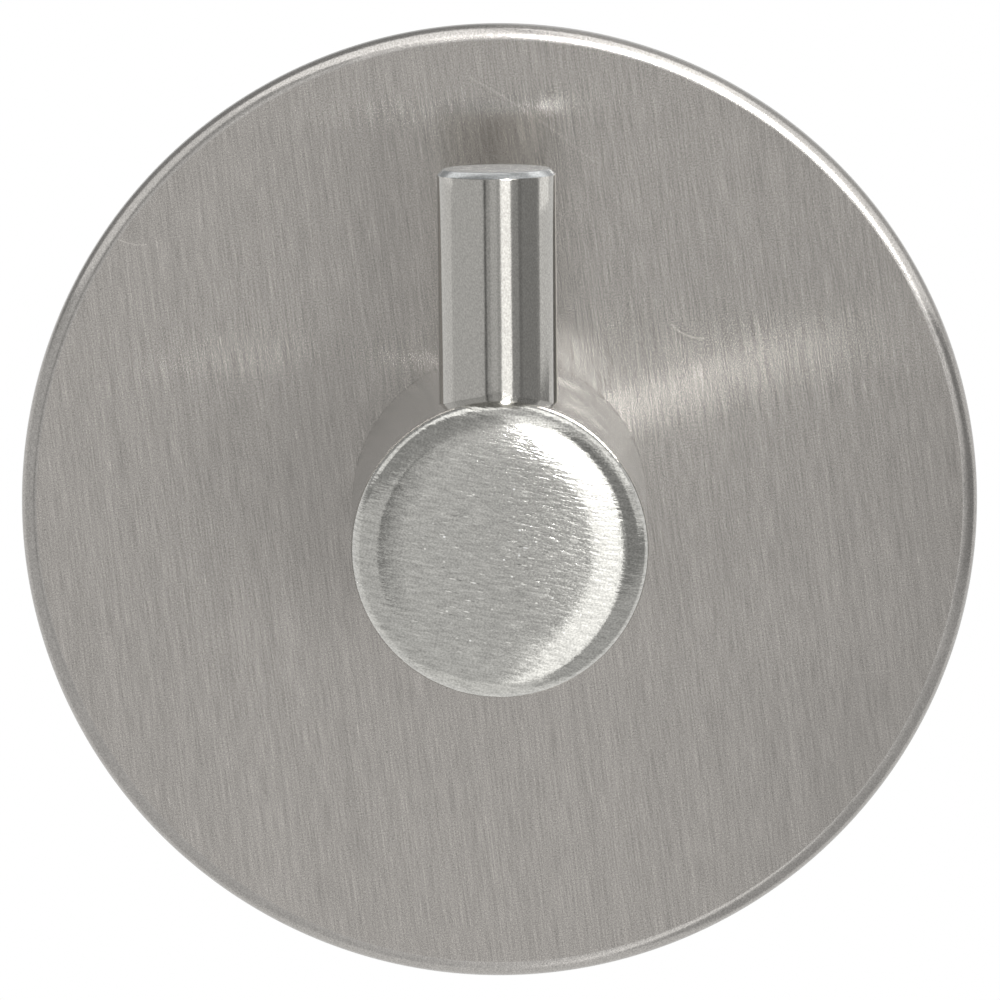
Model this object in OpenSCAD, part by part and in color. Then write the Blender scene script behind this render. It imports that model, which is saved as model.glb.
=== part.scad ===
// Round steel wall hook on an adhesive pad.
// A brushed disc carries a short round hub, and a peg stands up from the hub near its front,
// so that a loop hangs on the hub between the disc and the peg.
//
// The wall is the plane Y = 0, the hook stands out from it along -Y, and +Z is up.
// The origin is the centre of the face that goes to the wall.

/* [Back plate] */
// Diameter of the back plate
plate_d = 65; // [50:1:90]
// Thickness of the back plate
plate_t = 2; // [1.5:0.1:4]
// Radius rolled onto the plate's front edge
plate_edge_r = 1.2; // [0.3:0.1:1.5]
// Chamfer on the plate's back edge
plate_chamfer = 0.2; // [0.1:0.05:0.3]

/* [Hub] */
// Diameter of the hub
hub_d = 20; // [16:0.5:30]
// Length of the hub in front of the back plate
hub_len = 37; // [28:0.5:60]
// Radius of the hub's front edge
nose_r = 2; // [0.5:0.1:4]
// Radius of the slight dome on the hub's face
face_dome_r = 70; // [40:1:200]
// Chamfer on the hub's root, where it meets the plate
root_chamfer = 0.2; // [0.1:0.05:0.5]

/* [Peg] */
// Diameter of the peg
peg_d = 8; // [5:0.5:12]
// Height of the peg above the hub
peg_rise = 15; // [8:0.5:30]
// Depth of the peg inside the hub
peg_seat = 7; // [4:0.5:9]
// Distance from the hub's face back to the peg's axis
peg_setback = 10; // [7:0.5:16]
// Chamfer on both ends of the peg
peg_chamfer = 0.4; // [0.1:0.1:1]

/* [Screw] */
// Thread diameter of the screw
screw_d = 5; // [4:0.5:6]
// Length of the screw, head included
screw_len = 14; // [10:1:18]
// Pitch of the thread
screw_pitch = 0.8; // [0.5:0.05:1]
// Length of the chamfer on the screw's tip
screw_tip = 0.6; // [0.3:0.1:1]
// Diameter of the countersunk head
head_d = 10; // [8:0.5:12]
// Height of the straight rim around the head
head_rim = 0.2; // [0.1:0.05:0.5]
// Width across the flats of the hexagon socket
socket_w = 3; // [2:0.5:3.5]
// Depth of the hexagon socket
socket_depth = 2; // [1:0.1:2.4]

/* [Adhesive pad] */
// Diameter of the pad
pad_d = 58; // [40:1:62]
// Thickness of the foam carrier
foam_t = 0.8; // [0.4:0.1:2]
// Thickness of each adhesive film
film_t = 0.1; // [0.05:0.01:0.2]
// Thickness of the release liner
liner_t = 0.1; // [0.05:0.01:0.2]
// Width of the liner's pull tab
tab_w = 12; // [8:0.5:20]
// Reach of the pull tab past the pad
tab_reach = 2.8; // [2:0.1:3.4]
// Radius of the pull tab's corners
tab_corner_r = 2; // [0.5:0.1:3]

/* [Fits] */
// Gap all round the peg in its bore
peg_gap = 0.02; // [0.01:0.01:0.1]
// Gap all round the screw in the plate and the hub
screw_gap = 0.05; // [0.03:0.01:0.1]
// Depth of the screw's head below the back of the plate
head_sink = 0.1; // [0.05:0.05:0.3]
// Drilled depth in the hub past the screw's tip
drill_run = 2.5; // [1:0.5:5]

/* [Hidden] */

$fn = 128;

// Radii of the round pieces
plate_r = plate_d / 2;
hub_r = hub_d / 2;
peg_r = peg_d / 2;
pad_r = pad_d / 2;
screw_r = screw_d / 2;
head_r = head_d / 2;

// Distances out from the wall to the front of each layer
liner_front = liner_t;
wall_film_front = liner_front + film_t;
foam_front = wall_film_front + foam_t;
plate_back = foam_front + film_t;
plate_front = plate_back + plate_t;
hub_front = plate_front + hub_len;
peg_axis = hub_front - peg_setback;
screw_back = plate_back + head_sink;

// The peg runs up from the floor of its bore
peg_foot = hub_r - peg_seat;
peg_len = peg_seat + peg_rise;

// The rolled edge leaves the chamfered back of the plate its own height
edge_r = min(plate_edge_r, plate_t - plate_chamfer);

// The hub's nose: the edge radius runs smoothly into the dome where their arcs touch
dome_centre = hub_len - face_dome_r;
nose_centre = [
    hub_r - nose_r,
    dome_centre + sqrt(pow(face_dome_r - nose_r, 2) - pow(hub_r - nose_r, 2))
];
dome_share = face_dome_r / (face_dome_r - nose_r);
dome_edge = [
    nose_centre.x * dome_share,
    dome_centre + (nose_centre.y - dome_centre) * dome_share
];

// The screw: a right-angled countersunk head, and a thread with sixty degree flanks drawn as rings
flank_angle = 30;
thread_crest = screw_pitch / 8;
thread_valley = screw_pitch / 4;
thread_flank = (screw_pitch - thread_crest - thread_valley) / 2;
root_r = screw_r - thread_flank / tan(flank_angle);
head_h = head_rim + head_r - screw_r;
ring_count = floor((screw_len - head_h - screw_tip) / screw_pitch);
drill_end = screw_len + drill_run;
drill_point = 118;

// How far a cut runs past the face that it opens on
cut_over = 1;

tab_end = pad_r + tab_reach;

steel_plate = "#9c9993";
steel_hub = "#a9a8a4";
steel_peg = "#a3a09a";
steel_screw = "#6f6e6c";
foam_grey = "#d6d5d0";
film_clear = "#e6e2d2";
liner_cream = "#efe6c8";

// Stands a shape that grows along +Z out from the wall, starting at a distance from it
module out_from_wall(distance) {
    rotate([90, 0, 0])
        translate([0, 0, distance])
            children();
}

// One flat round layer of the pad
module pad_layer(back, thickness) {
    out_from_wall(back)
        cylinder(r = pad_r, h = thickness);
}

// Outline of the screw's head and cone, grown by a gap
function head_points(gap, back) = [
    [0, back],
    [head_r + gap, back],
    [head_r + gap, head_rim],
    [screw_r + gap, head_h]
];

// Outline of the thread's rings, grown by a gap
function thread_points(gap) = [
    for (i = [0 : ring_count - 1])
        let (start = head_h + i * screw_pitch + thread_valley)
        each [
            [root_r + gap, start],
            [screw_r + gap, start + thread_flank],
            [screw_r + gap, start + thread_flank + thread_crest],
            [root_r + gap, start + 2 * thread_flank + thread_crest]
        ]
];

// Outline of the screw itself
function screw_points() = concat(
    head_points(0, 0),
    [[root_r, head_h + thread_valley / 2]],
    thread_points(0),
    [
        [root_r, screw_len - screw_tip],
        [root_r - screw_tip, screw_len],
        [0, screw_len]
    ]
);

// Outline of the tapped hole that takes the screw, with its drilled end
function tapped_points() = concat(
    head_points(screw_gap, -head_sink - cut_over),
    [[root_r + screw_gap, head_h + thread_valley / 2]],
    thread_points(screw_gap),
    [
        [root_r + screw_gap, drill_end],
        [0, drill_end + (root_r + screw_gap) / tan(drill_point / 2)]
    ]
);

// Half section of the plate, with its back at zero
module plate_section() {
    square([plate_r - edge_r, plate_t]);
    polygon([
        [0, 0],
        [plate_r - plate_chamfer, 0],
        [plate_r, plate_chamfer],
        [plate_r, plate_t - edge_r],
        [0, plate_t - edge_r]
    ]);
    translate([plate_r - edge_r, plate_t - edge_r])
        intersection() {
            circle(r = edge_r);
            square(edge_r);
        }
}

// Countersunk hole through the plate for the screw
module plate_hole() {
    through = plate_t + cut_over;
    rotate_extrude()
        polygon(concat(
            head_points(screw_gap, -head_sink - cut_over),
            [
                [screw_r + screw_gap, head_h + through],
                [0, head_h + through]
            ]
        ));
}

// Half section of the hub, with its root at zero
module hub_section() {
    polygon([
        [0, 0],
        [hub_r - root_chamfer, 0],
        [hub_r, root_chamfer],
        [hub_r, nose_centre.y],
        [0, nose_centre.y]
    ]);
    translate(nose_centre)
        circle(r = nose_r);
    intersection() {
        translate([0, dome_centre])
            circle(r = face_dome_r, $fn = 720);
        polygon([
            [0, nose_centre.y],
            nose_centre,
            dome_edge,
            [dome_edge.x, hub_len],
            [0, hub_len]
        ]);
    }
}

// Flat-bottomed bore in the top of the hub for the peg
module peg_bore() {
    translate([0, -peg_axis, peg_foot])
        cylinder(r = peg_r + peg_gap, h = peg_seat + cut_over);
}

module back_plate() {
    color(steel_plate)
        difference() {
            out_from_wall(plate_back)
                rotate_extrude()
                    plate_section();
            out_from_wall(screw_back)
                plate_hole();
        }
}

module hub() {
    color(steel_hub)
        difference() {
            out_from_wall(plate_front)
                rotate_extrude()
                    hub_section();
            out_from_wall(screw_back)
                rotate_extrude()
                    polygon(tapped_points());
            peg_bore();
        }
}

module peg() {
    color(steel_peg)
        translate([0, -peg_axis, peg_foot])
            rotate_extrude()
                polygon([
                    [0, 0],
                    [peg_r - peg_chamfer, 0],
                    [peg_r, peg_chamfer],
                    [peg_r, peg_len - peg_chamfer],
                    [peg_r - peg_chamfer, peg_len],
                    [0, peg_len]
                ]);
}

module hub_screw() {
    color(steel_screw)
        out_from_wall(screw_back)
            difference() {
                rotate_extrude()
                    polygon(screw_points());
                translate([0, 0, -cut_over])
                    cylinder(d = socket_w / cos(30), h = socket_depth + cut_over, $fn = 6);
            }
}

module plate_adhesive() {
    color(film_clear)
        pad_layer(foam_front, film_t);
}

module foam_pad() {
    color(foam_grey)
        pad_layer(wall_film_front, foam_t);
}

module wall_adhesive() {
    color(film_clear)
        pad_layer(liner_front, film_t);
}

// The liner covers the pad, and its tab hangs below it behind the plate
module release_liner() {
    color(liner_cream)
        out_from_wall(0)
            linear_extrude(height = liner_t) {
                circle(r = pad_r);
                translate([-tab_w / 2, tab_corner_r - tab_end])
                    square([tab_w, tab_end - tab_corner_r]);
                translate([tab_corner_r - tab_w / 2, -tab_end])
                    square([tab_w - 2 * tab_corner_r, tab_end]);
                for (side = [-1, 1])
                    translate([side * (tab_w / 2 - tab_corner_r), tab_corner_r - tab_end])
                        circle(r = tab_corner_r);
            }
}

back_plate();
hub();
peg();
hub_screw();
plate_adhesive();
foam_pad();
wall_adhesive();
release_liner();
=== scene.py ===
"""Dresses a round adhesive wall hook: a brushed plate, a turned hub, a polished peg and the pad behind.

Lengths are metres in the hook's own frame unless a name ends in _mm. The wall is the plane y = 0, the hook
stands out from it along -y, and +z is up.
"""

import logging
import math
from abc import ABC, abstractmethod
from dataclasses import dataclass, field
from enum import Enum
from typing import Any

import bmesh
import bpy
from mathutils import Matrix, Vector


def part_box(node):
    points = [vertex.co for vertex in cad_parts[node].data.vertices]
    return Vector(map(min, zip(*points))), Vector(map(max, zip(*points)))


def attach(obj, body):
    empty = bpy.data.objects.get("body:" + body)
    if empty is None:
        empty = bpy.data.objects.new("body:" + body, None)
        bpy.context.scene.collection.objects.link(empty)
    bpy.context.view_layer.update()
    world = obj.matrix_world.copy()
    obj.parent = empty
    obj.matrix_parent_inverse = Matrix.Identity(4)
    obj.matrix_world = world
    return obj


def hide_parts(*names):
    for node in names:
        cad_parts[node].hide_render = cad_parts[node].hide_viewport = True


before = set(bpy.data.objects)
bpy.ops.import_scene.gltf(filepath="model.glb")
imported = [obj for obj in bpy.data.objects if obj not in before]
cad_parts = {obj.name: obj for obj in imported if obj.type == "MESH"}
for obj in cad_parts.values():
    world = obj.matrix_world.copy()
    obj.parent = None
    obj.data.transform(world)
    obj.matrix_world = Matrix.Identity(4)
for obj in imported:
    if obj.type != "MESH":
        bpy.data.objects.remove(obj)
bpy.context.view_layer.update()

LOG = logging.getLogger("wall_hook")

MM = 0.001
WELD = 1e-7
PEG_GAP = 0.02 * MM
BRUSH_MAP = "brush"
NOISE_DETAIL = 2.0
QUARTER_TURN = 0.25
WHITE = "#ffffff"


class Body(Enum):
    """The rigid bodies that the pieces ride on."""

    HOOK = "hook"
    LINER = "liner"


class Slot(Enum):
    """The material slots of the part's record, one named for each new piece."""

    PLATE = "plate_steel"
    HUB = "hub_steel"
    PEG = "peg_steel"
    ADHESIVE = "adhesive"
    FOAM = "foam"
    LINER = "liner_paper"


def linear(hex_colour: str) -> tuple[float, float, float, float]:
    """Turns an sRGB hex colour into the linear values that shaders take.

    Args:
        hex_colour: The colour as "#rrggbb".

    Returns:
        Linear red, green and blue with an alpha of one.
    """
    parts = (int(hex_colour[start:start + 2], 16) / 255 for start in (1, 3, 5))
    red, green, blue = (p / 12.92 if p <= 0.04045 else ((p + 0.055) / 1.055) ** 2.4 for p in parts)
    return red, green, blue, 1.0


def add_node(
    tree: bpy.types.NodeTree,
    kind: str,
    inputs: dict[str | int, Any] | None = None,
    **settings: Any,
) -> bpy.types.Node:
    """Adds one shader node, with its settings, values and links.

    Args:
        tree: The node tree that gets the node.
        kind: Blender's name for the node's type.
        inputs: A value or an output socket for each input, by the input's name or number.
        **settings: The node's own properties.

    Returns:
        The new node.
    """
    node = tree.nodes.new(kind)
    for name, value in settings.items():
        setattr(node, name, value)
    for name, value in (inputs or {}).items():
        if isinstance(value, bpy.types.NodeSocket):
            tree.links.new(value, node.inputs[name])
        else:
            node.inputs[name].default_value = value
    return node


class TurnedProfile:
    """A half section drawn as one chain of points and turned about the y axis, as on a lathe.

    A point's x is its radius and its y is its place along the axis.
    """

    def __init__(self, radius: float, place: float) -> None:
        """Starts the chain at one point."""
        self.mesh = bmesh.new()
        self.end = self.mesh.verts.new((radius, place, 0.0))

    def line_to(self, radius: float, place: float, steps: int = 1) -> "TurnedProfile":
        """Runs the chain straight to a point.

        Args:
            radius: The point's distance from the axis.
            place: The point's place along the axis.
            steps: How many edges the line is split into.

        Returns:
            The profile itself, so that calls can follow each other.
        """
        start = self.end.co.copy()
        goal = Vector((radius, place, 0.0))
        for step in range(1, steps + 1):
            grown = bmesh.ops.extrude_vert_indiv(self.mesh, verts=[self.end])
            self.end = grown["verts"][0]
            self.end.co = start.lerp(goal, step / steps)
        return self

    def arc_about(self, radius: float, place: float, degrees: float, steps: int) -> "TurnedProfile":
        """Bends the chain round a centre.

        Args:
            radius: The centre's distance from the axis.
            place: The centre's place along the axis.
            degrees: How far the chain turns, from +x towards +y.
            steps: How many edges the arc has.

        Returns:
            The profile itself, so that calls can follow each other.
        """
        turned = bmesh.ops.spin(
            self.mesh,
            geom=[self.end],
            cent=(radius, place, 0.0),
            axis=(0.0, 0.0, 1.0),
            angle=math.radians(degrees),
            steps=steps,
        )
        self.end = turned["geom_last"][0]
        return self

    def turn(self, steps: int) -> bmesh.types.BMesh:
        """Turns the chain once round the axis.

        Args:
            steps: How many faces go round the axis.

        Returns:
            The closed mesh.
        """
        bmesh.ops.spin(
            self.mesh,
            geom=self.mesh.verts[:] + self.mesh.edges[:],
            cent=(0.0, 0.0, 0.0),
            axis=(0.0, 1.0, 0.0),
            angle=math.tau,
            steps=steps,
            use_merge=True,
        )
        bmesh.ops.remove_doubles(self.mesh, verts=self.mesh.verts[:], dist=WELD)
        bmesh.ops.dissolve_degenerate(self.mesh, dist=WELD, edges=self.mesh.edges[:])
        bmesh.ops.recalc_face_normals(self.mesh, faces=self.mesh.faces[:])
        return self.mesh


def drilled(mesh: bmesh.types.BMesh, drill: bmesh.types.BMesh) -> bmesh.types.BMesh:
    """Cuts the shape of a drill out of a mesh.

    Args:
        mesh: The closed mesh to cut, which is used up.
        drill: The closed mesh to take away, which is used up.

    Returns:
        The mesh with its hole.
    """
    solids = []
    for name, shape in (("drilled_work", mesh), ("drilled_tool", drill)):
        data = bpy.data.meshes.new(name)
        shape.to_mesh(data)
        shape.free()
        solid = bpy.data.objects.new(name, data)
        bpy.context.scene.collection.objects.link(solid)
        solids.append(solid)
    work, tool = solids
    cut = work.modifiers.new("bore", "BOOLEAN")
    cut.operation = "DIFFERENCE"
    cut.solver = "EXACT"
    cut.object = tool
    result = work.evaluated_get(bpy.context.evaluated_depsgraph_get()).to_mesh()
    bored = bmesh.new()
    bored.from_mesh(result)
    for solid in solids:
        data = solid.data
        bpy.data.objects.remove(solid)
        bpy.data.meshes.remove(data)
    return bored


def lay_brush_map(mesh: bmesh.types.BMesh, lean_degrees: float) -> None:
    """Gives a mesh a flat UV map in millimetres, with u across the brush lines and v along them.

    Args:
        mesh: The mesh to map, seen from the front.
        lean_degrees: How far the top of the lines leans to the left of upright.
    """
    lean = math.radians(lean_degrees)
    across = Vector((math.cos(lean), 0.0, math.sin(lean))) / MM
    along = Vector((-math.sin(lean), 0.0, math.cos(lean))) / MM
    layer = mesh.loops.layers.uv.new(BRUSH_MAP)
    for face in mesh.faces:
        for corner in face.loops:
            corner[layer].uv = (corner.vert.co.dot(across), corner.vert.co.dot(along))


@dataclass(frozen=True)
class Grain:
    """One layer of a surface's pattern: noise drawn out to a size along each direction.

    The layer swings the colour's lightness by tone and the roughness by dull, and raises bumps by depth_mm.
    """

    size_mm: tuple[float, float, float]
    tone: float = 0.0
    dull: float = 0.0
    depth_mm: float = 0.0

    def noise(self, tree: bpy.types.NodeTree, place: bpy.types.NodeSocket) -> bpy.types.NodeSocket:
        """Draws the layer.

        Args:
            tree: The material's node tree.
            place: The surface's own coordinates in millimetres.

        Returns:
            A pattern that swings evenly about zero.
        """
        drawn = add_node(tree, "ShaderNodeMapping", {
            "Vector": place,
            "Scale": tuple(1 / size for size in self.size_mm),
        })
        noise = add_node(tree, "ShaderNodeTexNoise", {
            "Vector": drawn.outputs["Vector"],
            "Scale": 1.0,
            "Detail": NOISE_DETAIL,
        })
        centred = add_node(tree, "ShaderNodeMath", {0: noise.outputs["Fac"], 1: 0.5}, operation="SUBTRACT")
        return centred.outputs["Value"]


@dataclass(frozen=True)
class Mark(ABC):
    """Something that handling or brushing left on a surface, or a painted glint, lighter or darker than it
    by gain.
    """

    gain: float = field(default=0.3, kw_only=True)

    @abstractmethod
    def tone(self, tree: bpy.types.NodeTree, place: bpy.types.NodeSocket) -> bpy.types.NodeSocket:
        """Draws the mark.

        Args:
            tree: The material's node tree.
            place: The surface's own coordinates in millimetres.

        Returns:
            How much lighter the mark makes the surface.
        """


@dataclass(frozen=True)
class Hairline(Mark):
    """One thin broken scratch, given by its ends and its bow as seen from the front."""

    start_mm: tuple[float, float]
    end_mm: tuple[float, float]
    bow_mm: float = 0.0
    width_mm: float = 0.1
    breaks: float = 7.0

    def tone(self, tree: bpy.types.NodeTree, place: bpy.types.NodeSocket) -> bpy.types.NodeSocket:
        """Draws the scratch on the Object coordinates, whatever the surface's own.

        Args:
            tree: The material's node tree.
            place: The surface's own coordinates, which a scratch doesn't follow.

        Returns:
            How much lighter the scratch makes the surface.
        """
        run = Vector(self.end_mm) - Vector(self.start_mm)
        front = add_node(tree, "ShaderNodeTexCoord")
        local = add_node(tree, "ShaderNodeMapping", {
            "Vector": front.outputs["Object"],
            "Location": (self.start_mm[0] * MM, 0.0, self.start_mm[1] * MM),
            "Rotation": (0.0, math.atan2(-run.y, run.x), 0.0),
            "Scale": (run.length * MM, 1.0, self.width_mm * MM),
        }, vector_type="TEXTURE")
        parts = add_node(tree, "ShaderNodeSeparateXYZ", {"Vector": local.outputs["Vector"]})
        ends = add_node(tree, "ShaderNodeMath", {
            0: parts.outputs["X"],
            1: 0.5,
            2: 0.5,
        }, operation="COMPARE")
        left = add_node(tree, "ShaderNodeMath", {0: 1.0, 1: parts.outputs["X"]}, operation="SUBTRACT")
        arch = add_node(tree, "ShaderNodeMath", {
            0: left.outputs["Value"],
            1: parts.outputs["X"],
        }, operation="MULTIPLY")
        # The arch is a quarter high in the middle of the run, so four times it is the whole bow.
        bent = add_node(tree, "ShaderNodeMath", {
            0: arch.outputs["Value"],
            1: -4 * self.bow_mm / self.width_mm,
            2: parts.outputs["Z"],
        }, operation="MULTIPLY_ADD")
        side = add_node(tree, "ShaderNodeMath", {0: bent.outputs["Value"]}, operation="ABSOLUTE")
        core = add_node(tree, "ShaderNodeMapRange", {
            "Value": side.outputs["Value"],
            "To Min": self.gain,
            "To Max": 0.0,
        })
        broken = add_node(tree, "ShaderNodeTexNoise", {
            "W": parts.outputs["X"],
            "Scale": self.breaks,
            "Detail": NOISE_DETAIL,
        }, noise_dimensions="1D")
        tone = core.outputs["Result"]
        for share in (ends.outputs["Value"], broken.outputs["Fac"]):
            product = add_node(tree, "ShaderNodeMath", {0: tone, 1: share}, operation="MULTIPLY")
            tone = product.outputs["Value"]
        return tone


@dataclass(frozen=True)
class Flecks(Mark):
    """Dots or short strokes strewn in clumps over a face, out to a reach about its middle."""

    spacing_mm: tuple[float, float]
    size: float
    share: float = 0.5
    clump_mm: float = 3.0
    clump_edge: tuple[float, float] = (0.4, 0.6)
    reach_mm: float = 100.0

    def tone(self, tree: bpy.types.NodeTree, place: bpy.types.NodeSocket) -> bpy.types.NodeSocket:
        """Draws the flecks, each as strong as its own chance says.

        Args:
            tree: The material's node tree.
            place: The surface's own coordinates in millimetres.

        Returns:
            How much lighter the flecks make the surface.
        """
        spread = add_node(tree, "ShaderNodeMapping", {
            "Vector": place,
            "Scale": (1 / self.spacing_mm[0], 1 / self.spacing_mm[1], 1.0),
        })
        cells = add_node(tree, "ShaderNodeTexVoronoi", {
            "Vector": spread.outputs["Vector"],
            "Scale": 1.0,
        }, voronoi_dimensions="2D")
        chance = add_node(tree, "ShaderNodeSeparateColor", {"Color": cells.outputs["Color"]})
        core = add_node(tree, "ShaderNodeMapRange", {
            "Value": cells.outputs["Distance"],
            "From Min": self.size,
            "From Max": self.size / 2,
            "To Max": self.gain,
        })
        kept = add_node(tree, "ShaderNodeMath", {
            0: chance.outputs["Red"],
            1: self.share,
        }, operation="LESS_THAN")
        away = add_node(tree, "ShaderNodeVectorMath", {0: place}, operation="LENGTH")
        near = add_node(tree, "ShaderNodeMapRange", {
            "Value": away.outputs["Value"],
            "From Min": self.reach_mm,
            "From Max": self.reach_mm / 2,
        })
        cloud = add_node(tree, "ShaderNodeTexNoise", {"Vector": place, "Scale": 1 / self.clump_mm})
        clump = add_node(tree, "ShaderNodeMapRange", {
            "Value": cloud.outputs["Fac"],
            "From Min": self.clump_edge[0],
            "From Max": self.clump_edge[1],
        })
        tone = core.outputs["Result"]
        shares = (
            chance.outputs["Green"],
            kept.outputs["Value"],
            near.outputs["Result"],
            clump.outputs["Result"],
        )
        for share in shares:
            product = add_node(tree, "ShaderNodeMath", {0: tone, 1: share}, operation="MULTIPLY")
            tone = product.outputs["Value"]
        return tone


@dataclass(frozen=True)
class Finish:
    """One surface of the hook: what it is made of, and the layers of pattern and marks that it shows."""

    name: str
    colour: str
    roughness: float
    metallic: float = 0.0
    grains: tuple[Grain, ...] = ()
    marks: tuple[Mark, ...] = ()

    def coordinates(self, tree: bpy.types.NodeTree) -> bpy.types.NodeSocket:
        """Gives the coordinates that the pattern is drawn on.

        Args:
            tree: The material's node tree.

        Returns:
            The Object coordinates in millimetres.
        """
        place = add_node(tree, "ShaderNodeTexCoord")
        measured = add_node(tree, "ShaderNodeVectorMath", {
            0: place.outputs["Object"],
            "Scale": 1 / MM,
        }, operation="SCALE")
        return measured.outputs["Vector"]

    def shine(self, tree: bpy.types.NodeTree, looks: dict[str | int, Any]) -> bpy.types.NodeSocket:
        """Makes the shader.

        Args:
            tree: The material's node tree.
            looks: The shader's inputs.

        Returns:
            The finished surface.
        """
        return add_node(tree, "ShaderNodeBsdfPrincipled", looks).outputs["BSDF"]

    def material(self) -> bpy.types.Material:
        """Makes the surface's material.

        Returns:
            The material, or the one that was made before.
        """
        made = bpy.data.materials.get(self.name)
        if made:
            return made
        material = bpy.data.materials.new(self.name)
        material.use_nodes = True
        tree = material.node_tree
        tree.nodes.clear()
        place = self.coordinates(tree)
        totals: dict[str, Any] = {"tone": 1.0, "dull": self.roughness, "depth_mm": 0.0}
        for grain in self.grains:
            noise = grain.noise(tree, place)
            for kind, total in totals.items():
                swing = getattr(grain, kind)
                if swing:
                    grown = add_node(tree, "ShaderNodeMath", {
                        0: noise,
                        1: swing,
                        2: total,
                    }, operation="MULTIPLY_ADD")
                    totals[kind] = grown.outputs["Value"]
        for mark in self.marks:
            grown = add_node(tree, "ShaderNodeMath", {
                0: totals["tone"],
                1: mark.tone(tree, place),
            }, operation="ADD")
            totals["tone"] = grown.outputs["Value"]
        toned = add_node(tree, "ShaderNodeHueSaturation", {
            "Color": linear(self.colour),
            "Value": totals["tone"],
        })
        bumps = add_node(tree, "ShaderNodeBump", {
            "Height": totals["depth_mm"],
            "Strength": 1.0,
            "Distance": MM,
        })
        surface = self.shine(tree, {
            "Base Color": toned.outputs["Color"],
            "Roughness": totals["dull"],
            "Metallic": self.metallic,
            "Normal": bumps.outputs["Normal"],
        })
        add_node(tree, "ShaderNodeOutputMaterial", {"Surface": surface})
        return material


@dataclass(frozen=True)
class BrushedSteel(Finish):
    """Stainless steel brushed one way: a clear gloss, and a share of haze that the lines throw sideways.

    The pattern lies on the brush map, whose first direction is across the brush and second is along it.
    """

    metallic: float = 1.0
    anisotropy: float = 0.0
    haze: float = 0.0
    haze_roughness: float = 0.27

    def coordinates(self, tree: bpy.types.NodeTree) -> bpy.types.NodeSocket:
        """Gives the brush map, which is in millimetres already."""
        return add_node(tree, "ShaderNodeUVMap", uv_map=BRUSH_MAP).outputs["UV"]

    def shine(self, tree: bpy.types.NodeTree, looks: dict[str | int, Any]) -> bpy.types.NodeSocket:
        """Spreads the gloss across the brush and mixes in the haze.

        Args:
            tree: The material's node tree.
            looks: The shader's inputs.

        Returns:
            The finished surface.
        """
        across = add_node(tree, "ShaderNodeTangent", direction_type="UV_MAP", uv_map=BRUSH_MAP)
        drawn = {**looks, "Tangent": across.outputs["Tangent"]}
        clear = super().shine(tree, {**drawn, "Anisotropic": self.anisotropy})
        if not self.haze:
            return clear
        thrown = super().shine(tree, {**drawn, "Roughness": self.haze_roughness, "Anisotropic": 1.0})
        both = add_node(tree, "ShaderNodeMixShader", {0: self.haze, 1: clear, 2: thrown})
        return both.outputs["Shader"]


@dataclass(frozen=True)
class TurnedSteel(Finish):
    """Stainless steel turned on a lathe: close rings round the y axis spread the gloss along it."""

    metallic: float = 1.0
    anisotropy: float = 0.65

    def shine(self, tree: bpy.types.NodeTree, looks: dict[str | int, Any]) -> bpy.types.NodeSocket:
        """Spreads the gloss along the axis.

        Args:
            tree: The material's node tree.
            looks: The shader's inputs.

        Returns:
            The finished surface.
        """
        around = add_node(tree, "ShaderNodeTangent", direction_type="RADIAL", axis="Y")
        return super().shine(tree, {
            **looks,
            "Anisotropic": self.anisotropy,
            "Anisotropic Rotation": QUARTER_TURN,
            "Tangent": around.outputs["Tangent"],
        })


# Belt-brushed stainless sheet: warm grey, with upright lines, a fine grain and scratches from handling.
# The belt's own lines are too fine for the picture, so they are drawn about a tenth of a millimetre wide.
PLATE_FACE = BrushedSteel(
    name="belt_brushed_stainless",
    colour="#b1ada8",
    roughness=0.12,
    anisotropy=0.7,
    haze=0.33,
    grains=(
        Grain((0.1, 2.6, 1.0), tone=0.66, depth_mm=0.001),
        Grain((0.1, 0.1, 1.0), tone=1.1),
        Grain((0.4, 14.0, 1.0), tone=0.28),
        Grain((1.6, 45.0, 1.0), tone=0.14),
    ),
    marks=(
        Flecks((1.1, 7.0), 0.07, gain=0.3),
        Flecks((2.6, 2.6), 0.03, gain=-0.35),
        Hairline((-1.8, 29.0), (6.7, 23.1), bow_mm=0.25),
        Hairline((11.8, 12.0), (14.1, 11.0), bow_mm=-0.3, gain=0.5),
        Hairline((-26.0, 18.3), (-23.8, 17.8), bow_mm=-0.2, gain=0.5),
        Hairline((23.9, -12.0), (26.6, -11.8), gain=0.2),
    ),
)
# The plate's edge is rounded on a fine belt: satin and grainy, so that it shines as one pale band.
PLATE_EDGE = Finish(
    name="linished_stainless",
    colour="#aca9a5",
    roughness=0.22,
    metallic=1.0,
    grains=(
        Grain((0.11, 0.11, 0.11), tone=1.0, depth_mm=0.006),
        Grain((0.4, 0.4, 0.4), tone=0.2, depth_mm=0.006),
        Grain((4.0, 4.0, 4.0), tone=0.1, dull=0.1),
    ),
)
# Rolled stainless sheet as the mill leaves it: even, dull and a little clouded.
PLATE_BACK = Finish(
    name="mill_rolled_stainless",
    colour="#b0aeaa",
    roughness=0.34,
    metallic=1.0,
    grains=(
        Grain((0.3, 0.3, 0.3), tone=0.1, depth_mm=0.002),
        Grain((9.0, 9.0, 9.0), tone=0.06, dull=0.08),
    ),
)
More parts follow.
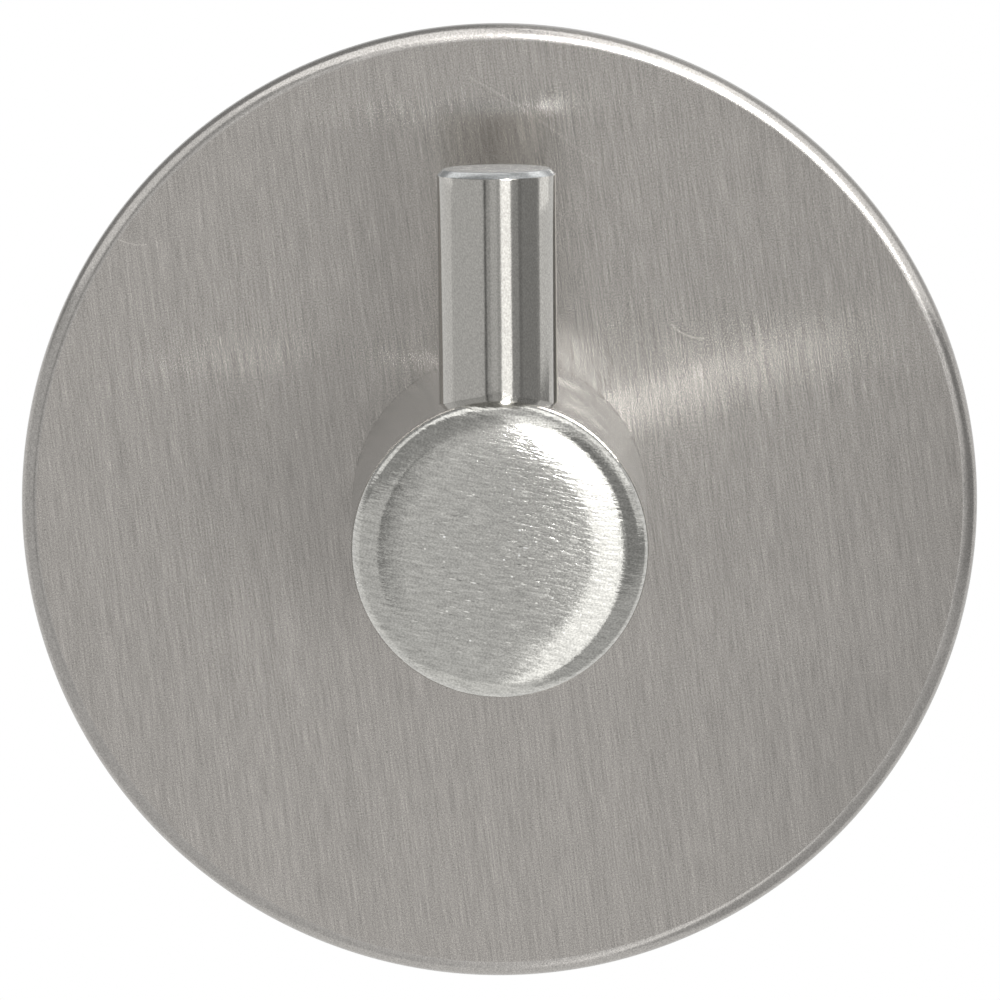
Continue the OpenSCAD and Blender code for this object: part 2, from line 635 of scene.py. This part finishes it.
# The hub's face and nose are brushed by hand across the bar: a satin skin with short darker strokes, and
# painted glints as bright flecks and strokes on the face.
HUB_FACE = BrushedSteel(
    name="cross_brushed_stainless_painted_glints",
    colour="#bbbab5",
    roughness=0.15,
    grains=(
        Grain((0.11, 0.15, 1.0), tone=1.1, depth_mm=0.004),
        Grain((0.2, 1.2, 1.0), tone=0.8, depth_mm=0.03),
        Grain((0.5, 4.0, 1.0), tone=0.2, depth_mm=0.008),
    ),
    marks=(
        # Painted glints: the first two kinds of flecks lift the colour far above the steel's own, to stand
        # for sparkle; the third darkens short strokes.
        Flecks((0.8, 1.0), 0.1, gain=2.2, reach_mm=8.6),
        Flecks((0.3, 1.6), 0.17, gain=1.4, share=0.6, reach_mm=9.0),
        Flecks((0.3, 1.3), 0.18, gain=-0.5, share=0.6, reach_mm=9.0),
    ),
)
# Lathe-turned stainless bar: close rings that spread the gloss along the bar.
HUB_SIDE = TurnedSteel(
    name="turned_stainless",
    colour="#b0b0ae",
    roughness=0.13,
    grains=(
        Grain((8.0, 0.25, 8.0), tone=0.25),
        Grain((0.12, 0.12, 0.12), tone=0.7),
        Grain((5.0, 5.0, 5.0), dull=0.1),
    ),
)
# Buffed stainless bar: near a mirror, bent by long waves from the die and by small dents.
PEG_SKIN = Finish(
    name="buffed_stainless",
    colour="#b2b0ab",
    roughness=0.11,
    metallic=1.0,
    grains=(
        Grain((1.0, 1.0, 9.0), dull=0.06, depth_mm=0.004),
        Grain((0.35, 0.35, 0.6), tone=0.12, depth_mm=0.002),
        Grain((0.1, 0.1, 0.14), tone=0.7),
    ),
)
# The peg's ends are faced on the lathe: satin, so that they stand out pale against the polished bar.
PEG_END = Finish(
    name="faced_stainless",
    colour="#a7a9a9",
    roughness=0.26,
    metallic=1.0,
    grains=(
        Grain((0.12, 0.12, 0.12), tone=0.7),
        Grain((0.5, 0.5, 0.5), tone=0.12),
    ),
)
# Zinc-plated screw steel: darker and bluer than the stainless, with a cloudy skin.
SCREW_SKIN = Finish(
    name="zinc_plated_steel",
    colour="#8b8d90",
    roughness=0.4,
    metallic=1.0,
    grains=(
        Grain((0.3, 0.3, 0.3), tone=0.1, depth_mm=0.004),
        Grain((4.0, 4.0, 4.0), tone=0.1, dull=0.1),
    ),
)
# Acrylic adhesive laid on a carrier: tacky and wet-looking, with a pebbled skin.
TACKY_FILM = Finish(
    name="acrylic_adhesive",
    colour="#e6e2d2",
    roughness=0.2,
    grains=(
        Grain((0.9, 0.9, 0.9), tone=0.05, depth_mm=0.02),
        Grain((9.0, 9.0, 9.0), tone=0.06, dull=0.1),
    ),
)
# Closed-cell foam: matt, with cells that show as specks along the cut edge.
FOAM_CUT = Finish(
    name="closed_cell_foam",
    colour="#d6d5d0",
    roughness=0.85,
    grains=(
        Grain((0.18, 0.18, 0.18), tone=0.3, depth_mm=0.05),
        Grain((9.0, 9.0, 9.0), tone=0.06),
    ),
)
# Waxed glassine paper: cream, with a low sheen and faint clouds of fibre.
WAXED_PAPER = Finish(
    name="glassine_paper",
    colour="#efe6c8",
    roughness=0.42,
    grains=(
        Grain((0.5, 0.5, 0.5), tone=0.05, depth_mm=0.004),
        Grain((6.0, 6.0, 6.0), tone=0.08, dull=0.1),
    ),
)


@dataclass
class SubAssembly(ABC):
    """A group of pieces that are made and dressed together."""

    crease_degrees: float = field(default=35.0, kw_only=True)

    @abstractmethod
    def build(self) -> None:
        """Makes the group's pieces."""

    def hand_over(
        self,
        name: str,
        mesh: bmesh.types.BMesh,
        finishes: tuple[Finish, ...],
        slot: Slot,
        node: str,
        body: Body = Body.HOOK,
    ) -> bpy.types.Object:
        """Turns a mesh into a finished piece that stands for a solid of the frame.

        Args:
            name: The piece's name.
            mesh: The piece's mesh, which is used up.
            finishes: The finishes that the faces' material numbers point to.
            slot: The record's material slot, which is not used.
            node: The solid that the piece stands for.
            body: The body that the piece rides on.

        Returns:
            The piece.
        """
        data = bpy.data.meshes.new(name)
        mesh.to_mesh(data)
        mesh.free()
        for finish in finishes:
            data.materials.append(finish.material())
        data.shade_smooth()
        data.set_sharp_from_angle(angle=math.radians(self.crease_degrees))
        piece = bpy.data.objects.new(name, data)
        bpy.context.scene.collection.objects.link(piece)
        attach(piece, body.value)
        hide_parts(node)
        LOG.info("%s: %d faces, on %s", name, len(data.polygons), body.value)
        return piece


@dataclass
class BackPlate(SubAssembly):
    """The round steel plate, with its front edge rolled over and a countersunk hole behind the hub."""

    radius: float
    front: float
    back: float
    edge_round: float = 1.0 * MM
    shoulder_ring: float = 0.04 * MM
    back_chamfer: float = 0.2 * MM
    hole_radius: float = 2.55 * MM
    sink_radius: float = 5.05 * MM
    sink_rim: float = 0.3 * MM
    lean_degrees: float = 7.4
    round_steps: int = 360
    face_steps: int = 4
    edge_steps: int = 16

    def build(self) -> None:
        """Turns the plate, brushes its front and leaves its back as rolled."""
        shoulder = self.radius - self.edge_round
        edge_centre = self.front + self.edge_round
        sink_floor = self.back - self.sink_rim - (self.sink_radius - self.hole_radius)
        hole_edge = max(sink_floor, self.front)
        profile = TurnedProfile(self.hole_radius + hole_edge - sink_floor, self.front)
        # A narrow flat ring before the round keeps the smooth shading of the edge off the face.
        profile.line_to(shoulder - self.shoulder_ring, self.front, steps=self.face_steps)
        profile.line_to(shoulder, self.front)
        profile.arc_about(shoulder, edge_centre, 90, self.edge_steps)
        profile.line_to(self.radius, self.back - self.back_chamfer)
        profile.line_to(self.radius - self.back_chamfer, self.back)
        profile.line_to(self.sink_radius, self.back)
        profile.line_to(self.sink_radius, self.back - self.sink_rim)
        profile.line_to(self.hole_radius + hole_edge - sink_floor, self.front)
        mesh = profile.turn(self.round_steps)
        lay_brush_map(mesh, self.lean_degrees)
        for face in mesh.faces:
            middle = face.calc_center_median()
            behind = middle.y > edge_centre
            face.material_index = 2 if behind else int(middle.xz.length > shoulder)
        finishes = (PLATE_FACE, PLATE_EDGE, PLATE_BACK)
        self.hand_over("plate_shell", mesh, finishes, Slot.PLATE, "back_plate")


@dataclass
class Hub(SubAssembly):
    """The turned hub: a rounded nose with a slightly domed face, a bore for the peg and a screw hole."""

    radius: float
    front: float
    root: float
    bore_radius: float
    bore_place: float
    bore_floor: float
    flat_edge: float = 6.0 * MM
    flat_tilt_degrees: float = 2.4
    pillow_edge: float = 8.2 * MM
    pillow_tilt_degrees: float = 12.0
    root_chamfer: float = 0.2 * MM
    screw_hole_radius: float = 2.55 * MM
    screw_hole_mouth: float = 3.35 * MM
    screw_hole_depth: float = 14.0 * MM
    lean_degrees: float = 78.5
    round_steps: int = 288
    nose_steps: int = 24
    pillow_steps: int = 10
    flat_steps: int = 6
    wall_steps: int = 36
    bore_steps: int = 144

    def build(self) -> None:
        """Turns the hub, bores it and brushes its face."""
        flat_tilt = math.radians(self.flat_tilt_degrees)
        pillow_tilt = math.radians(self.pillow_tilt_degrees)
        flat_bend = self.flat_edge / math.sin(flat_tilt)
        pillow_bend = (self.pillow_edge - self.flat_edge) / (math.sin(pillow_tilt) - math.sin(flat_tilt))
        nose_bend = (self.radius - self.pillow_edge) / (1 - math.sin(pillow_tilt))
        flat_centre = self.front + flat_bend
        pillow_ring = (flat_bend - pillow_bend) * math.sin(flat_tilt)
        pillow_centre = flat_centre - (flat_bend - pillow_bend) * math.cos(flat_tilt)
        nose_ring = self.radius - nose_bend
        nose_centre = pillow_centre - (pillow_bend - nose_bend) * math.cos(pillow_tilt)
        hole_end = self.root - self.screw_hole_depth
        profile = TurnedProfile(0.0, hole_end - self.screw_hole_radius / 2)
        profile.line_to(self.screw_hole_radius, hole_end)
        mouth_depth = self.screw_hole_mouth - self.screw_hole_radius
        profile.line_to(self.screw_hole_radius, self.root - mouth_depth)
        profile.line_to(self.screw_hole_mouth, self.root)
        profile.line_to(self.radius - self.root_chamfer, self.root)
        profile.line_to(self.radius, self.root - self.root_chamfer)
        profile.line_to(self.radius, nose_centre, steps=self.wall_steps)
        profile.arc_about(nose_ring, nose_centre, self.pillow_tilt_degrees - 90, self.nose_steps)
        pillow_sweep = self.flat_tilt_degrees - self.pillow_tilt_degrees
        profile.arc_about(pillow_ring, pillow_centre, pillow_sweep, self.pillow_steps)
        profile.arc_about(0.0, flat_centre, -self.flat_tilt_degrees, self.flat_steps)
        mesh = drilled(profile.turn(self.round_steps), self.bore())
        lay_brush_map(mesh, self.lean_degrees)
        for face in mesh.faces:
            face.material_index = int(face.calc_center_median().y > nose_centre)
        self.hand_over("hub_body", mesh, (HUB_FACE, HUB_SIDE), Slot.HUB, "hub")

    def bore(self) -> bmesh.types.BMesh:
        """Makes the shape of the peg's bore.

        Returns:
            A cylinder from the bore's floor to clear of the hub's top.
        """
        depth = 2 * self.radius - self.bore_floor
        mesh = bmesh.new()
        bmesh.ops.create_cone(
            mesh,
            cap_ends=True,
            segments=self.bore_steps,
            radius1=self.bore_radius,
            radius2=self.bore_radius,
            depth=depth,
            matrix=Matrix.Translation((0.0, self.bore_place, self.bore_floor + depth / 2)),
        )
        return mesh


@dataclass
class Peg(SubAssembly):
    """The upright peg: a length of bar with a chamfer on each end."""

    radius: float
    place: float
    foot: float
    top: float
    chamfer: float = 0.4 * MM
    edge_break: float = 0.05 * MM
    break_steps: int = 3
    sharp_degrees: float = 20.0
    end_lean: float = 0.5
    round_steps: int = 192
    wall_steps: int = 8

    def build(self) -> None:
        """Turns the peg, breaks its sharp edges and stands it up in the hub."""
        profile = TurnedProfile(0.0, self.foot)
        profile.line_to(self.radius - self.chamfer, self.foot)
        profile.line_to(self.radius, self.foot + self.chamfer)
        profile.line_to(self.radius, self.top - self.chamfer, steps=self.wall_steps)
        profile.line_to(self.radius - self.chamfer, self.top)
        profile.line_to(0.0, self.top)
        mesh = profile.turn(self.round_steps)
        sharp = [edge for edge in mesh.edges if edge.calc_face_angle(0.0) > math.radians(self.sharp_degrees)]
        bmesh.ops.bevel(
            mesh,
            geom=sharp,
            offset=self.edge_break,
            affect="EDGES",
            segments=self.break_steps,
            profile=0.5,
            material=-1,
        )
        bmesh.ops.rotate(mesh, verts=mesh.verts[:], matrix=Matrix.Rotation(math.radians(90), 3, "X"))
        bmesh.ops.translate(mesh, verts=mesh.verts[:], vec=(0.0, self.place, 0.0))
        mesh.normal_update()
        for face in mesh.faces:
            face.material_index = int(abs(face.normal.z) > self.end_lean)
        self.hand_over("peg_bar", mesh, (PEG_SKIN, PEG_END), Slot.PEG, "peg")


@dataclass
class AdhesivePad(SubAssembly):
    """The double-sided pad: a foam disc between two films of adhesive."""

    radius: float
    layers: dict[str, tuple[float, float]]
    edge_draw: float = 0.12 * MM
    round_steps: int = 240
    face_steps: int = 6
    edge_steps: int = 6

    def build(self) -> None:
        """Punches the three layers, with the foam's cut edge drawn in a little."""
        names = {
            "plate_adhesive": ("plate_film", TACKY_FILM, Slot.ADHESIVE, 0.0),
            "foam_pad": ("foam_disc", FOAM_CUT, Slot.FOAM, self.edge_draw),
            "wall_adhesive": ("wall_film", TACKY_FILM, Slot.ADHESIVE, 0.0),
        }
        for node, (name, finish, slot, draw) in names.items():
            front, back = self.layers[node]
            piece = self.hand_over(name, self.disc(front, back, draw), (finish,), slot, node)

    def disc(self, front: float, back: float, draw: float) -> bmesh.types.BMesh:
        """Turns one layer.

        Args:
            front: Where the layer's front face is.
            back: Where the layer's back face is.
            draw: How far the middle of the cut edge is drawn in.

        Returns:
            The closed disc.
        """
        middle = (front + back) / 2
        profile = TurnedProfile(0.0, front)
        profile.line_to(self.radius, front, steps=self.face_steps)
        if draw:
            half = (back - front) / 2
            bend = (half * half + draw * draw) / (2 * draw)
            sweep = 2 * math.degrees(math.asin(half / bend))
            profile.arc_about(self.radius - draw + bend, middle, -sweep, self.edge_steps)
        else:
            profile.line_to(self.radius, back)
        profile.line_to(0.0, back, steps=self.face_steps)
        return profile.turn(self.round_steps)


@dataclass
class ReleaseLiner(SubAssembly):
    """The waxed paper over the wall adhesive, with a pull tab that hangs below the pad."""

    radius: float
    tab_end: float
    thickness: float
    tab_width: float = 12.0 * MM
    corner_radius: float = 2.0 * MM
    tab_lift: float = 0.35 * MM
    round_steps: int = 928
    tab_steps: int = 6

    def build(self) -> None:
        """Cuts the paper, draws out its tab, lifts the tab's end and gives the sheet its thickness."""
        mesh = bmesh.new()
        bmesh.ops.create_circle(
            mesh,
            cap_ends=True,
            radius=self.radius,
            segments=self.round_steps,
            matrix=Matrix.Rotation(math.radians(90), 4, "X"),
        )
        rim = [
            edge for edge in mesh.edges
            if all(vert.co.z < 0 and abs(vert.co.x) < self.tab_width / 2 + WELD for vert in edge.verts)
        ]
        self.draw_tab(mesh, rim)
        self.hand_over("liner_sheet", mesh, (WAXED_PAPER,), Slot.LINER, "release_liner", Body.LINER)

    def draw_tab(self, mesh: bmesh.types.BMesh, rim: list[bmesh.types.BMEdge]) -> None:
        """Draws the tab out of the rim and thickens the sheet.

        Args:
            mesh: The round sheet.
            rim: The edges that the tab starts from.
        """
        starts = {vert for edge in rim for vert in edge.verts}
        span = self.tab_width / 2
        stretch = span / max(vert.co.x for vert in starts)
        for vert in starts:
            across = abs(vert.co.x) * stretch
            turn = math.pi / 2 * max(0.0, (across - span) / self.corner_radius + 1)
            if turn:
                across = span - self.corner_radius * (1 - math.sin(turn))
            vert.co.x = math.copysign(across, vert.co.x)
            vert.co.z = -math.sqrt(self.radius ** 2 - across ** 2)
        edges = rim
        for step in range(1, self.tab_steps + 1):
            grown = bmesh.ops.extrude_edge_only(mesh, edges=edges)["geom"]
            verts = [item for item in grown if isinstance(item, bmesh.types.BMVert)]
            edges = [
                item for item in grown
                if isinstance(item, bmesh.types.BMEdge) and all(vert in verts for vert in item.verts)
            ]
            share = step / self.tab_steps
            for vert in verts:
                across = vert.co.x
                start = -math.sqrt(self.radius ** 2 - across ** 2)
                past = max(0.0, abs(across) - (span - self.corner_radius))
                corner = self.corner_radius - math.sqrt(max(0.0, self.corner_radius ** 2 - past ** 2))
                end = -(self.tab_end - corner)
                vert.co.z = start + (end - start) * share
                vert.co.y = -self.tab_lift * share ** 2
        bmesh.ops.recalc_face_normals(mesh, faces=mesh.faces[:])
        if mesh.faces[0].normal.y < 0:
            bmesh.ops.reverse_faces(mesh, faces=mesh.faces[:])
        bmesh.ops.solidify(mesh, geom=mesh.faces[:], thickness=self.thickness)


@dataclass
class HubScrew:
    """The countersunk screw behind the plate, which keeps its own solid and takes a plated finish."""

    node: str = "hub_screw"

    def dress(self) -> None:
        """Gives the screw's solid its plating."""
        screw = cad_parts[self.node]
        screw.data.materials.clear()
        screw.data.materials.append(SCREW_SKIN.material())
        LOG.info("%s: plated", self.node)


@dataclass(frozen=True)
class Card:
    """A glowing or dim screen round the hook, which only its reflections show.

    Angles are degrees seen from the hook: azimuth from straight ahead towards +x, elevation up.
    """

    name: str
    azimuths: tuple[float, float]
    elevations: tuple[float, float]
    strength: float
    reach: float = 4.0
    steps: int = 12

    def build(self) -> None:
        """Bends the screen as a patch of a globe and lights it."""
        low, high = (math.radians(angle) for angle in self.elevations)
        west, east = (math.radians(angle) for angle in self.azimuths)
        mesh = bmesh.new()
        mesh.verts.new((0.0, -self.reach * math.cos(low), self.reach * math.sin(low)))
        for axis, angle in (((1.0, 0.0, 0.0), low - high), ((0.0, 0.0, 1.0), east - west)):
            bmesh.ops.spin(
                mesh,
                geom=mesh.verts[:] + mesh.edges[:],
                cent=(0.0, 0.0, 0.0),
                axis=axis,
                angle=angle,
                steps=self.steps,
            )
        bmesh.ops.rotate(mesh, verts=mesh.verts[:], matrix=Matrix.Rotation(west, 3, "Z"))
        data = bpy.data.meshes.new(self.name)
        mesh.to_mesh(data)
        mesh.free()
        material = bpy.data.materials.new(self.name)
        material.use_nodes = True
        tree = material.node_tree
        tree.nodes.clear()
        glow = add_node(tree, "ShaderNodeEmission", {"Color": linear(WHITE), "Strength": self.strength})
        add_node(tree, "ShaderNodeOutputMaterial", {"Surface": glow.outputs["Emission"]})
        data.materials.append(material)
        screen = bpy.data.objects.new(self.name, data)
        screen.visible_camera = False
        screen.visible_diffuse = False
        screen.visible_shadow = False
        bpy.context.scene.collection.objects.link(screen)


@dataclass(frozen=True)
class Lamp:
    """A square soft lamp that faces the hook."""

    name: str
    place: tuple[float, float, float]
    size: float
    watts: float

    def build(self) -> None:
        """Hangs the lamp and turns it to the hook."""
        light = bpy.data.lights.new(self.name, "AREA")
        light.size = self.size
        light.energy = self.watts
        lamp = bpy.data.objects.new(self.name, light)
        lamp.location = self.place
        lamp.rotation_euler = (-Vector(self.place)).to_track_quat("-Z", "Y").to_euler()
        lamp.visible_glossy = False
        bpy.context.scene.collection.objects.link(lamp)


@dataclass
class Studio:
    """The white studio: camera, floor, background, screens and lamps.

    The far screens stand for the room. The near ones lie close in front of the plate, where its edge sees
    them and the hub's nose hardly does. The key is strong, because the plate meets it only by way of the
    hub's side.
    """

    camera_reach: float = 2.5
    camera_sight: float = 10.0
    camera_rise_degrees: float = 5.33
    camera_roll_degrees: float = -0.57
    camera_aim: tuple[float, float, float] = (0.0, -1.9 * MM, 0.0)
    camera_shift: tuple[float, float] = (0.0005, -0.0001)
    sensor_mm: float = 36.0
    frame_width: float = 68.05 * MM
    floor_place: float = -0.35
    floor_radius: float = 1.1
    floor_steps: int = 96
    floor_colour: str = "#f4f4f2"
    floor_glow: float = 0.85
    soft_light: float = 0.75
    cards: tuple[Card, ...] = (
        Card("left_screen", (-99, -26), (-40, 20), 0.75),
        Card("inner_left_screen", (-26, -13), (-40, 20), 0.55),
        Card("post_screen", (-24.7, -20.7), (-40, 20), 0.15, reach=3.9),
        Card("upper_left_screen", (-99, -13), (20, 75), 0.45),
        Card("front_left_screen", (-13, 0), (-40, 20), 0.74),
        Card("front_right_screen", (0, 7), (-40, 20), 0.55),
        Card("crown_screen", (-13, 9), (20, 75), 0.5),
        Card("low_left_screen", (-99, 5), (-60, -12), 0.75, reach=0.38),
        Card("low_strip_light", (5, 31), (-60, -12), 1.65, reach=0.38),
        Card("low_right_screen", (31, 99), (-60, -12), 0.45, reach=0.38),
        Card("strip_light", (7, 27), (-12, 10), 1.9),
        Card("glow_light", (9, 42), (10, 55), 2.0),
        Card("key_light", (10, 28), (13, 30), 40.0, reach=3.9),
        Card("key_top_light", (14, 28), (30, 42), 40.0, reach=3.9),
        Card("upper_right_screen", (9, 75), (55, 75), 1.4),
        Card("zenith_screen", (-99, 99), (75, 106), 0.72),
        Card("right_screen", (27, 42), (-40, 10), 0.45),
        Card("mid_right_screen", (42, 68), (-40, 55), 0.28),
        Card("far_right_screen", (68, 90), (-40, 55), 0.42),
        Card("near_flag_screen", (31, 60), (-12, 22), 0.36, reach=0.08),
        Card("side_flag_screen", (60, 95), (-12, 3), 0.36, reach=0.08),
        Card("low_flag_screen", (24, 95), (-65, -12), 0.6, reach=0.08),
        Card("near_top_light", (-85, 10), (55, 88), 1.7, reach=0.057),
        Card("near_left_light", (-88, -55), (25, 55), 1.2, reach=0.057),
        Card("near_top_right_light", (35, 88), (55, 88), 2.0, reach=0.057),
        Card("near_right_light", (55, 88), (20, 55), 1.4, reach=0.057),
        Card("rear_right_screen", (99, 180), (12, 80), 0.7),
        Card("rear_left_screen", (180, 261), (12, 80), 0.4),
        Card("rear_low_screen", (99, 261), (-40, 12), 0.95),
    )
    lamps: tuple[Lamp, ...] = (
        Lamp("rear_lamp", (-0.5, 0.8, 0.6), 0.5, 4.0),
    )

    def build(self) -> None:
        """Sets the stage."""
        bpy.context.scene.view_settings.view_transform = "Standard"
        self.place_camera()
        self.whiten_world()
        self.lay_floor()
        for item in self.cards + self.lamps:
            item.build()

    def place_camera(self) -> None:
        """Stands the camera where the photograph was taken from."""
        lens = bpy.data.cameras.new("camera")
        lens.sensor_width = self.sensor_mm
        lens.lens = self.sensor_mm * self.camera_reach / self.frame_width
        lens.shift_x, lens.shift_y = self.camera_shift
        lens.clip_end = self.camera_sight
        rise = math.radians(self.camera_rise_degrees)
        back = Vector((0.0, -math.cos(rise), math.sin(rise)))
        turn = (-back).to_track_quat("-Z", "Y").to_matrix().to_4x4()
        roll = Matrix.Rotation(math.radians(self.camera_roll_degrees), 4, "Z")
        place = Matrix.Translation(Vector(self.camera_aim) + back * self.camera_reach)
        camera = bpy.data.objects.new("camera", lens)
        camera.matrix_world = place @ turn @ roll
        bpy.context.scene.collection.objects.link(camera)
        bpy.context.scene.camera = camera

    def seen(self, tree: bpy.types.NodeTree) -> bpy.types.NodeSocket:
        """Tells the rays that look at the background from those that only light the hook.

        Args:
            tree: The node tree that asks.

        Returns:
            One for a ray of the camera, a reflection or a transmission, and otherwise zero.
        """
        path = add_node(tree, "ShaderNodeLightPath")
        found = path.outputs["Is Camera Ray"]
        for kind in ("Is Glossy Ray", "Is Transmission Ray"):
            either = add_node(tree, "ShaderNodeMath", {
                0: found,
                1: path.outputs[kind],
            }, operation="MAXIMUM")
            found = either.outputs["Value"]
        return found

    def whiten_world(self) -> None:
        """Makes the background white where it is seen, and a softer light elsewhere."""
        world = bpy.data.worlds.new("white_studio")
        world.use_nodes = True
        tree = world.node_tree
        tree.nodes.clear()
        strength = add_node(tree, "ShaderNodeMath", {
            0: self.seen(tree),
            1: 1 - self.soft_light,
            2: self.soft_light,
        }, operation="MULTIPLY_ADD")
        sky = add_node(tree, "ShaderNodeBackground", {
            "Color": linear(WHITE),
            "Strength": strength.outputs["Value"],
        })
        add_node(tree, "ShaderNodeOutputWorld", {"Surface": sky.outputs["Background"]})
        bpy.context.scene.world = world

    def lay_floor(self) -> None:
        """Lays a pale round floor below the hook, clear from underneath."""
        mesh = bmesh.new()
        bmesh.ops.create_circle(
            mesh,
            cap_ends=True,
            radius=self.floor_radius,
            segments=self.floor_steps,
            matrix=Matrix.Translation((0.0, 0.0, self.floor_place)),
        )
        data = bpy.data.meshes.new("floor")
        mesh.to_mesh(data)
        mesh.free()
        material = bpy.data.materials.new("white_paper_floor")
        material.use_nodes = True
        tree = material.node_tree
        tree.nodes.clear()
        paper = add_node(tree, "ShaderNodeBsdfDiffuse", {"Color": linear(self.floor_colour)})
        white = add_node(tree, "ShaderNodeEmission", {"Color": linear(WHITE), "Strength": 1.0})
        share = add_node(tree, "ShaderNodeMath", {
            0: self.seen(tree),
            1: self.floor_glow,
        }, operation="MULTIPLY")
        lit = add_node(tree, "ShaderNodeMixShader", {
            0: share.outputs["Value"],
            1: paper.outputs["BSDF"],
            2: white.outputs["Emission"],
        })
        clear = add_node(tree, "ShaderNodeBsdfTransparent")
        side = add_node(tree, "ShaderNodeNewGeometry")
        surface = add_node(tree, "ShaderNodeMixShader", {
            0: side.outputs["Backfacing"],
            1: lit.outputs["Shader"],
            2: clear.outputs["BSDF"],
        })
        add_node(tree, "ShaderNodeOutputMaterial", {"Surface": surface.outputs["Shader"]})
        data.materials.append(material)
        floor = bpy.data.objects.new("floor", data)
        bpy.context.scene.collection.objects.link(floor)


def main() -> None:
    """Builds the hook's pieces and the studio."""
    logging.basicConfig(level=logging.INFO, format="%(name)s %(message)s")
    plate_low, plate_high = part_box("back_plate")
    hub_low, hub_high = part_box("hub")
    peg_low, peg_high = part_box("peg")
    foam_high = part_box("foam_pad")[1]
    liner_low, liner_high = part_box("release_liner")
    peg_radius = (peg_high.x - peg_low.x) / 2
    peg_place = (peg_low.y + peg_high.y) / 2
    layers = {
        node: (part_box(node)[0].y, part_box(node)[1].y)
        for node in ("plate_adhesive", "foam_pad", "wall_adhesive")
    }
    BackPlate(radius=plate_high.x, front=plate_low.y, back=plate_high.y).build()
    Hub(
        radius=hub_high.x,
        front=hub_low.y,
        root=hub_high.y,
        bore_radius=peg_radius + PEG_GAP,
        bore_place=peg_place,
        bore_floor=peg_low.z,
    ).build()
    Peg(radius=peg_radius, place=peg_place, foot=peg_low.z, top=peg_high.z).build()
    HubScrew().dress()
    AdhesivePad(radius=foam_high.x, layers=layers).build()
    ReleaseLiner(
        radius=liner_high.x,
        tab_end=-liner_low.z,
        thickness=liner_high.y - liner_low.y,
    ).build()
    Studio().build()


if __name__ == "__main__":
    main()
